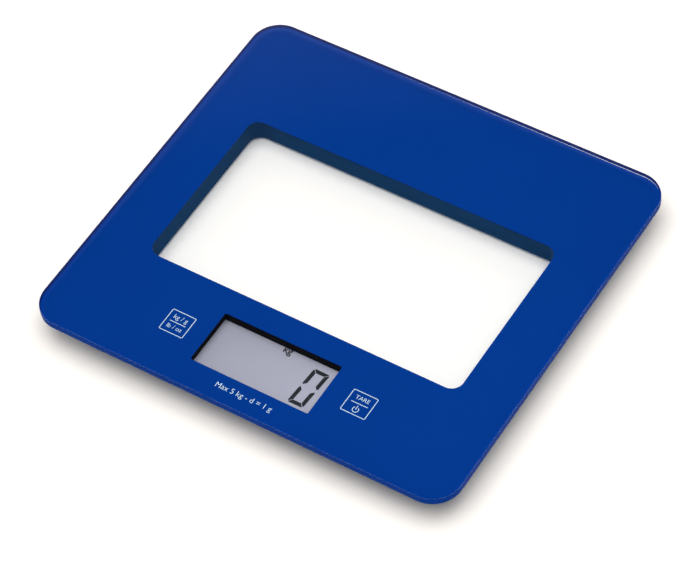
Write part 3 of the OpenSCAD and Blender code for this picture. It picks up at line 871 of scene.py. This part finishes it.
@dataclass
class BackPrint:
    """The blue print on the back of the plate, its backing coat and their two windows."""

    bite: float = 0.03 * MM
    backing: float = 0.06 * MM
    spare: float = 5.0 * MM
    windows: tuple[Window, ...] = (
        Window("well_cutter", (149.6 * MM, 81.6 * MM), 0.0, 5.3 * MM),
        Window("display_cutter", (56.4 * MM, 26.2 * MM), -65.3 * MM, 0.7 * MM),
    )
    ink: Colour = (0.0008, 0.043, 0.284, 1.0)
    unevenness: float = 0.03
    coat: ScreenInk = ScreenInk("backing_coat", (0.01, 0.022, 0.05, 1.0), 0.06, 0.55, 0.25)

    def corner(self) -> float:
        """Radius of the print's corners."""
        return PLATE_CORNER - (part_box("printed_film")[0].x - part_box("glass_platform")[0].x)

    def layer(self, name: str, bottom: float, top: float) -> Piece:
        """One printed layer with both windows.

        Args:
            name: name of the layer.
            bottom: z of its underside.
            top: z of its upper side.

        Returns:
            The layer.
        """
        low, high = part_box("printed_film")
        sheet = slab(name, (low.x, low.y, bottom), (high.x, high.y, top), self.corner(), CORNER_STEPS)
        cut(sheet, *[window.cutter(bottom - self.spare, top + self.spare) for window in self.windows])
        smooth(sheet)
        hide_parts("printed_film")
        return sheet

    def dress(self) -> None:
        """Build the two layers; the ink reaches a little into the glass, which wets it."""
        low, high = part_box("printed_film")
        seam = low.z + self.backing
        corner = self.corner()
        core = (high.x - corner, high.y - corner)
        # the back print is real ink with painted light: a paler band near its outline
        ink = BackInk("blue_back_print", self.ink, self.unevenness, core=core, corner=corner)
        finish(self.layer("back_print", seam, high.z + self.bite), ink, HOUSING)
        finish(self.layer("backing_coat", low.z, seam), self.coat, HOUSING)


@dataclass
class PrintedMarks:
    """White marks of the touch keys and the range line, printed on the glass."""

    thick: float = 0.03 * MM
    lift: float = 0.02 * MM
    line: float = 0.3 * MM
    letter_weight: float = -0.007
    key_size: Pair = (11.6 * MM, 11.2 * MM)
    rim_corner: float = 0.6 * MM
    hole_corner: float = 0.25 * MM
    corner_steps: int = 4
    left_key: Pair = (-42.55 * MM, -66.1 * MM)
    right_key: Pair = (43.85 * MM, -64.45 * MM)
    divider: float = 7.6 * MM
    switch: Pair = (right_key[0], -67.45 * MM)
    ring: float = 1.45 * MM
    gap: Pair = (1.5 * MM, 3.0 * MM)
    switch_bar: float = 2.0 * MM
    units: tuple[Legend, ...] = (
        Legend("left_upper", "kg / g", 6.6 * MM, left_key[0], -64.5 * MM),
        Legend("left_lower", "lb / oz", 7.1 * MM, left_key[0], -69.5 * MM),
    )
    tare: Legend = Legend("right_upper", "TARE", 6.4 * MM, right_key[0], -62.75 * MM)
    range_line: Legend = Legend("range_line_marks", "Max 5 kg - d = 1 g", 26.6 * MM, 1.3 * MM, -84.95 * MM)
    ink: ScreenInk = ScreenInk("white_mark_print", (0.75, 0.93, 1.0, 1.0), 0.02)

    def floor(self) -> float:
        """Height of the underside of the marks."""
        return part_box("printed_film")[1].z + self.lift

    def patch(self, name: str, x: Pair, y: Pair, corner: float = 0.0, cutter: bool = False) -> Piece:
        """A flat patch of ink, or a cutter that goes through the ink.

        Args:
            name: name of the patch.
            x: its ends in x.
            y: its ends in y.
            corner: radius of its corners.
            cutter: whether it is a cutter.

        Returns:
            The patch.
        """
        floor = self.floor()
        low, high = around(floor, MM) if cutter else (floor, floor + self.thick)
        return slab(name, (x[0], y[0], low), (x[1], y[1], high), corner, self.corner_steps)

    def outline(self, name: str, centre: Pair) -> list[Piece]:
        """Square outline and divider of a key.

        Args:
            name: name of the key.
            centre: its middle.

        Returns:
            The two strokes.
        """
        x, y = centre
        half_w, half_d = self.key_size[0] / 2.0, self.key_size[1] / 2.0
        rim = self.patch(name + "_rim", around(x, half_w), around(y, half_d), self.rim_corner)
        inside = around(x, half_w - self.line), around(y, half_d - self.line)
        cut(rim, self.patch(name + "_hole", *inside, self.hole_corner, True))
        rule = self.patch(name + "_rule", around(x, self.divider / 2.0), around(y, self.line / 2.0))
        return [rim, rule]

    def switch_sign(self) -> list[Piece]:
        """Ring with a gap and a bar, the usual sign for on and off.

        Returns:
            The two strokes.
        """
        x, y = self.switch
        floor = self.floor()
        ring = disc("switch_ring", (x, y, floor), self.ring, self.thick)
        inner = disc("switch_inner", (x, y, floor - MM), self.ring - self.line, 2.0 * MM)
        gap = self.patch("switch_gap", around(x, self.gap[0] / 2.0), (y, y + self.gap[1]), cutter=True)
        cut(ring, inner, gap)
        bar = self.patch("switch_bar", around(x, self.line / 2.0), (y, y + self.switch_bar))
        return [ring, bar]

    def words(self, legend: Legend) -> Piece:
        """Words in white ink."""
        return legend.build(self.floor(), self.thick, self.letter_weight)

    def dress(self) -> None:
        """Build the marks and give them their ink."""
        left = self.outline("left_key", self.left_key) + [self.words(unit) for unit in self.units]
        finish(join("unit_key_marks", left), self.ink, HOUSING)
        right = [*self.outline("right_key", self.right_key), self.words(self.tare), *self.switch_sign()]
        finish(join("tare_key_marks", right), self.ink, HOUSING)
        finish(self.words(self.range_line), self.ink, HOUSING)


class Segment(Enum):
    """The lit strokes of a nought: column, row and whether it lies level."""

    TOP = (0, 1, True)
    BOTTOM = (0, -1, True)
    UPPER_LEFT = (-1, 1, False)
    UPPER_RIGHT = (1, 1, False)
    LOWER_LEFT = (-1, -1, False)
    LOWER_RIGHT = (1, -1, False)


@dataclass
class Display:
    """The reflective display: its face, figures and black shroud."""

    digit: Pair = (19.75 * MM, -65.05 * MM)
    digit_size: Pair = (7.5 * MM, 18.9 * MM)
    stroke: float = 1.75 * MM
    mitre: float = 1.3 * MM
    end_gap: float = 0.6 * MM
    waist: float = 0.6 * MM
    waist_mitre: float = 0.7 * MM
    slant: float = 0.071
    thick: float = 0.03 * MM
    unit: Legend = Legend("unit_mark", "kg", 4.1 * MM, 2.6 * MM, -54.6 * MM)
    unit_weight: float = 0.02
    face: DisplayFace = DisplayFace("display_face", (0.465, 0.46, 0.55, 1.0))
    figure: ScreenInk = ScreenInk("display_figure", srgb(40, 40, 44), 0.05, 0.45, 0.3)
    shroud: Moulding = Moulding("black_shroud", srgb(9, 6, 10), 0.65, specular=0.04)
    rubber: Moulding = Moulding("contact_rubber", srgb(70, 60, 75), 0.8, 0.1 * MM)

    def segment(self, kind: Segment, low: float) -> Piece:
        """One mitred stroke of the nought.

        Args:
            kind: which stroke.
            low: z of its underside.

        Returns:
            The stroke.
        """
        column, row, level = kind.value
        half_w, half_h = self.digit_size[0] / 2.0, self.digit_size[1] / 2.0
        if level:
            inner = row * (half_h - self.stroke)
            x0, x1 = around(0.0, half_w - self.end_gap)
            y0, y1 = sorted((row * half_h, inner))
        else:
            inner = column * (half_w - self.stroke)
            x0, x1 = sorted((column * half_w, inner))
            y0, y1 = sorted((row * self.waist, row * (half_h - self.end_gap)))
        piece = slab("stroke_" + kind.name.lower(), (x0, y0, low), (x1, y1, low + self.thick))

        def on_inside(edge: Edge) -> bool:
            """Whether an upright edge is on the inner side of the stroke."""
            place = edge.verts[0].co
            return is_upright(edge) and abs((place.y if level else place.x) - inner) < NEAR

        def at_waist(edge: Edge) -> bool:
            """Whether an upright edge is the outer one at the waist."""
            place = edge.verts[0].co
            outer = abs(place.x - column * half_w) < NEAR
            return is_upright(edge) and outer and abs(place.y - row * self.waist) < NEAR

        round_edges(piece, on_inside, self.mitre, 1)
        if not level:
            round_edges(piece, at_waist, self.waist_mitre, 1)
        return piece

    def build_figures(self) -> Piece:
        """Model the nought and the unit mark on the display's face.

        Returns:
            The figures.
        """
        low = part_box("lcd_panel")[1].z
        nought = join("nought", [self.segment(kind, low) for kind in Segment])
        lean = Matrix.Identity(4)
        lean[0][1] = self.slant
        nought.data.transform(Matrix.Translation((*self.digit, 0.0)) @ lean)
        return join("display_figures", [nought, self.unit.build(low, self.thick, self.unit_weight)])

    def dress(self) -> None:
        """Build the figures, and dress the face, shroud and contact strip."""
        finish(self.build_figures(), self.figure, HOUSING)
        dress(self.face, "lcd_panel")
        dress(self.rubber, "zebra_strip")
        finish(skin("lcd_bezel", "display_shroud"), self.shroud, HOUSING)


@dataclass
class Housing:
    """The moulded frame, its cover and what holds them to the plate."""

    plastic: Moulding = Moulding("blue_housing", (0.001, 0.043, 0.13, 1.0), 0.55, 0.3 * MM, 0.005 * MM,
                                 specular=0.03)
    cover: Moulding = Moulding("blue_cover", (0.014, 0.054, 0.135, 1.0), 0.5, 0.4 * MM, 0.012 * MM)
    foam: Moulding = Moulding("bonding_foam", srgb(225, 225, 222), 0.9, 0.3 * MM, 0.03 * MM)
    screw: SheetMetal = SheetMetal("screw_zinc", srgb(190, 192, 196), 0.28)

    def dress(self) -> None:
        """Skin the mouldings and dress the screws and the bonding sheet."""
        finish(skin("upper_frame", "housing_frame"), self.plastic, HOUSING)
        finish(skin("bottom_cover", "housing_cover"), self.cover, HOUSING)
        finish(skin("cover_screws", "cover_screw_set"), self.screw, HOUSING)
        dress(self.screw, "board_screws")
        dress(self.foam, "adhesive_sheet")


@dataclass
class Feet:
    """Foot plungers with grooved rubber pads."""

    groove: float = 0.35 * MM
    groove_radii: tuple[float, ...] = (2.0 * MM, 3.8 * MM, 5.5 * MM)
    groove_sides: int = 12
    sides: int = 72
    rim: float = 0.4 * MM
    rim_steps: int = 4
    plastic: Moulding = Moulding("foot_plastic", srgb(38, 40, 44), 0.45)
    rubber: Moulding = Moulding("pad_rubber", srgb(52, 54, 58), 0.8, 0.2 * MM, 0.01 * MM, 0.08, 0.35)

    def pad(self, corner: Corner) -> Piece:
        """Model a pad with concentric grip grooves.

        Args:
            corner: the foot's corner.

        Returns:
            The pad.
        """
        node = "foot_pad_" + corner.value
        low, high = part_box(node)
        middle = (low + high) / 2.0
        base = (middle.x, middle.y, low.z)
        pad = disc("grip_pad_" + corner.value, base, (high.x - low.x) / 2.0, high.z - low.z, self.sides)
        round_edges(pad, at_height(low.z), self.rim, self.rim_steps)
        for turn in self.groove_radii:
            clear_selection()
            bpy.ops.mesh.primitive_torus_add(location=base, major_radius=turn, minor_radius=self.groove,
                                             major_segments=self.sides, minor_segments=self.groove_sides)
            cut(pad, settle("groove"))
        smooth(pad)
        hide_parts(node)
        return pad

    def dress(self) -> None:
        """Build the pads and skin the plungers."""
        for corner in Corner:
            body = "foot_" + corner.value
            finish(self.pad(corner), self.rubber, body)
            finish(skin(body, "foot_plunger_" + corner.value), self.plastic, body)


@dataclass
class BatteryBay:
    """The twist cap, its marks, the cell and its contacts."""

    raised: float = 0.15 * MM
    sunk: float = 0.05 * MM
    softened: float = 0.2 * MM
    softened_steps: int = 3
    top_round: float = 0.075 * MM
    top_steps: int = 2
    pointer_radius: float = 10.6 * MM
    pointer_shape: Vec3 = (0.9, 1.6, 1.0)
    mark_radius: float = 16.4 * MM
    mark: float = 1.1 * MM
    mark_hole: float = 0.605 * MM
    mark_sides: int = 32
    locked: float = 205.0
    travel: float = 45.0
    cap: Moulding = Moulding("blue_cap", (0.014, 0.054, 0.135, 1.0), 0.45, 0.3 * MM, 0.008 * MM)
    raised_ink: Moulding = Moulding("pale_mark", srgb(196, 204, 214), 0.5)
    can: SheetMetal = SheetMetal("cell_can", srgb(205, 206, 208), 0.25)
    brass: SheetMetal = SheetMetal("contact_brass", srgb(214, 186, 118), 0.3)

    def spot(self, radius: float, angle: float) -> Pair:
        """Place on the cover at a radius and angle about the cap's axis."""
        low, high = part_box("battery_cap")
        middle = (low + high) / 2.0
        turn = math.radians(angle)
        return (middle.x + radius * math.cos(turn), middle.y + radius * math.sin(turn))

    def soften(self, mark: Piece, face: float) -> Piece:
        """Round the raised rim of a mark on a face, and shade it smooth."""
        round_edges(mark, at_height(face - self.raised), self.top_round, self.top_steps)
        smooth(mark)
        return mark

    def pointer(self) -> Piece:
        """Small raised triangle on the cap, pointing outwards.

        Returns:
            The pointer.
        """
        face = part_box("battery_cap")[0].z
        depth = self.raised + self.sunk
        place = (*self.spot(self.pointer_radius, self.locked), face + self.sunk - depth / 2.0)
        clear_selection()
        bpy.ops.mesh.primitive_cylinder_add(vertices=3, radius=self.mark, depth=depth, location=place,
                                            rotation=(0.0, 0.0, math.radians(self.locked - 90.0)),
                                            scale=self.pointer_shape)
        pointer = settle("cap_pointer")
        round_edges(pointer, is_upright, self.softened, self.softened_steps)
        return self.soften(pointer, face)

    def cover_mark(self, name: str, angle: float, hollow: bool) -> Piece:
        """Raised dot or ring on the cover beside the cap.

        Args:
            name: name of the mark.
            angle: its angle about the cap's axis.
            hollow: whether it is a ring.

        Returns:
            The mark.
        """
        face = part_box("bottom_cover")[0].z
        x, y = self.spot(self.mark_radius, angle)
        mark = disc(name, (x, y, face - self.raised), self.mark, self.raised + self.sunk, self.mark_sides)
        if hollow:
            cut(mark, disc("ring_hole", (x, y, face - MM), self.mark_hole, 2.0 * MM, self.mark_sides))
        return self.soften(mark, face)

    def dress(self) -> None:
        """Skin the cap, build the marks and dress the cell and contacts."""
        finish(skin("battery_cap", "twist_cap"), self.cap, CAP_BODY)
        finish(self.pointer(), self.raised_ink, CAP_BODY)
        finish(self.cover_mark("locked_mark", self.locked, False), self.raised_ink, HOUSING)
        finish(self.cover_mark("open_mark", self.locked + self.travel, True), self.raised_ink, HOUSING)
        dress(self.can, "coin_cell")
        dress(self.brass, "battery_contact_positive", "battery_contact_negative")


@dataclass
class Inside:
    """Board, springs, load cells and leads inside the housing: finishes and the nodes that have them."""

    looks: tuple[tuple[Finish, tuple[str, ...]], ...] = (
        (BoardLaminate("board_laminate", srgb(24, 84, 46), srgb(58, 132, 74)), ("main_board",)),
        (Moulding("component_black", srgb(34, 34, 36), 0.5, 0.15 * MM), ("board_components",)),
        (Moulding("socket_nylon", srgb(232, 228, 214), 0.5, 0.2 * MM), ("lead_sockets",)),
        (SheetMetal("spring_steel", srgb(196, 198, 202), 0.22), ("touch_spring_left", "touch_spring_right")),
        (Moulding("gauge_potting", srgb(226, 224, 216), 0.35, 1.0 * MM, 0.05 * MM), ("strain_gauges",)),
        (SheetMetal("load_cell_steel", srgb(182, 184, 188), 0.34, Axis.Y),
         tuple("load_cell_" + corner.value for corner in Corner)),
        (Moulding("lead_grey", srgb(140, 142, 146), 0.5),
         tuple("sensor_lead_" + corner.value for corner in Corner)),
        (Moulding("lead_red", srgb(176, 34, 32), 0.5), ("battery_lead_red",)),
        (Moulding("lead_black", srgb(30, 30, 32), 0.5), ("battery_lead_black",)),
    )

    def dress(self) -> None:
        """Dress the inner nodes."""
        for look, nodes in self.looks:
            dress(look, *nodes)


# Studio


@dataclass(frozen=True)
class SoftBox:
    """A square soft lamp that looks at the scale, flagged off from the glass so that it leaves no glare."""

    name: str
    direction: Vec3
    distance: float
    size: float
    power: float

    def place(self) -> None:
        """Put up the lamp."""
        lamp = bpy.data.lights.new(self.name, "AREA")
        lamp.shape = "SQUARE"
        lamp.size = self.size
        lamp.energy = self.power
        stand = bpy.data.objects.new(self.name, lamp)
        stand.visible_glossy = False
        stand.visible_transmission = False
        way = Vector(self.direction).normalized()
        stand.location = way * self.distance
        stand.rotation_euler = (-way).to_track_quat("-Z", "Y").to_euler()
        bpy.context.scene.collection.objects.link(stand)


@dataclass
class Studio:
    """White table, light tent, lamps and the camera.

    The tent is given by heights and grey levels, its backdrop by a colour and the heights where it sets in.
    """

    table: float = 8.0
    table_top: TableTop = TableTop("table_top", (0.9, 0.88, 0.86, 1.0))
    tent: tuple[Pair, ...] = ((0.0, 0.3), (0.6, 0.65), (0.66, 0.65), (0.76, 0.02))
    open_side: Vec3 = (0.61, -0.79, 0.0)
    opening: Pair = (0.2, 0.75)
    open_level: float = 0.25
    backdrop: Colour = (0.93, 0.93, 0.93, 1.0)
    backdrop_height: Pair = (0.87, 0.9)
    lamps: tuple[SoftBox, ...] = (
        SoftBox("lamp_above", (0.04, -0.08, 0.996), 2.0, 2.4, 45.0),
        SoftBox("lamp_below", (0.0, 0.0, -1.0), 1.2, 1.5, 12.0),
    )
    azimuth: float = 37.617
    elevation: float = 52.156
    roll: float = -7.125
    distance: float = 1301.15 * MM
    target: Vec3 = (8.85 * MM, -15.47 * MM, 13.66 * MM)
    lens: float = 163.54
    sensor: float = 36.0
    clip: Pair = (0.01, 100.0)

    def lay_table(self) -> None:
        """Lay the white table under the feet."""
        clear_selection()
        bpy.ops.mesh.primitive_plane_add(size=self.table)
        table = settle("table")
        table.data.materials.append(self.table_top.material())

    def pitch_tent(self) -> None:
        """Light tent: grey at the table, white higher up, dark over the scale and open at one side.

        It is pale to the camera, and through the glass near the zenith.
        """
        world = bpy.data.worlds.new("light_tent")
        bpy.context.scene.world = world
        world.use_nodes = True
        tree = NodeTree(world.node_tree)
        place = tree.nodes.new("ShaderNodeTexCoord").outputs["Generated"]
        height = tree.add("ShaderNodeSeparateXYZ", {"Vector": place}).outputs["Z"]
        cloth = tree.add("ShaderNodeValToRGB", {"Fac": height})
        stops = cloth.color_ramp.elements
        while len(stops) < len(self.tent):
            stops.new(0.5)
        for stop, (position, level) in zip(stops, self.tent):
            stop.position = position
            stop.color = (level, level, level, 1.0)
        side = tree.vector("DOT_PRODUCT", place, self.open_side)["Value"]
        strength = tree.span(side, self.opening, (1.0, self.open_level), "SMOOTHSTEP")
        tent = tree.add("ShaderNodeBackground", {"Color": cloth.outputs["Color"], "Strength": strength})
        pale = tree.add("ShaderNodeBackground", {"Color": self.backdrop})
        path = tree.nodes.new("ShaderNodeLightPath").outputs
        through = tree.step("MULTIPLY", path["Is Transmission Ray"], tree.span(height, self.backdrop_height))
        seen = tree.step("MAXIMUM", path["Is Camera Ray"], through)
        mixed = tree.blend(seen, tent.outputs["Background"], pale.outputs["Background"])
        tree.add("ShaderNodeOutputWorld", {"Surface": mixed})

    def set_camera(self) -> None:
        """Set the camera at the photograph's angle."""
        data = bpy.data.cameras.new("camera")
        data.lens = self.lens
        data.sensor_width = self.sensor
        data.sensor_fit = "HORIZONTAL"
        data.clip_start, data.clip_end = self.clip
        camera = bpy.data.objects.new("camera", data)
        bpy.context.scene.collection.objects.link(camera)
        tilt, swing = math.radians(90.0 - self.elevation), math.radians(self.azimuth)
        turn = Euler((tilt, 0.0, swing), "XYZ").to_matrix()
        turn = turn @ Matrix.Rotation(math.radians(self.roll), 3, "Z")
        place = Vector(self.target) + turn @ Vector((0.0, 0.0, self.distance))
        camera.matrix_world = Matrix.Translation(place) @ turn.to_4x4()
        bpy.context.scene.camera = camera

    def build(self) -> None:
        """Put up the whole studio."""
        self.lay_table()
        self.pitch_tent()
        for lamp in self.lamps:
            lamp.place()
        self.set_camera()
        bpy.context.scene.view_settings.view_transform = "Standard"


def main() -> None:
    """Build the studio and every sub-assembly in order."""
    logging.basicConfig(level=logging.INFO, format="%(name)s: %(message)s")
    Studio().build()
    for kind in (GlassPlate, BackPrint, PrintedMarks, Display, Housing, Feet, BatteryBay, Inside):
        log.info("sub-assembly %s", kind.__name__)
        kind().dress()


if __name__ == "__main__":
    main()
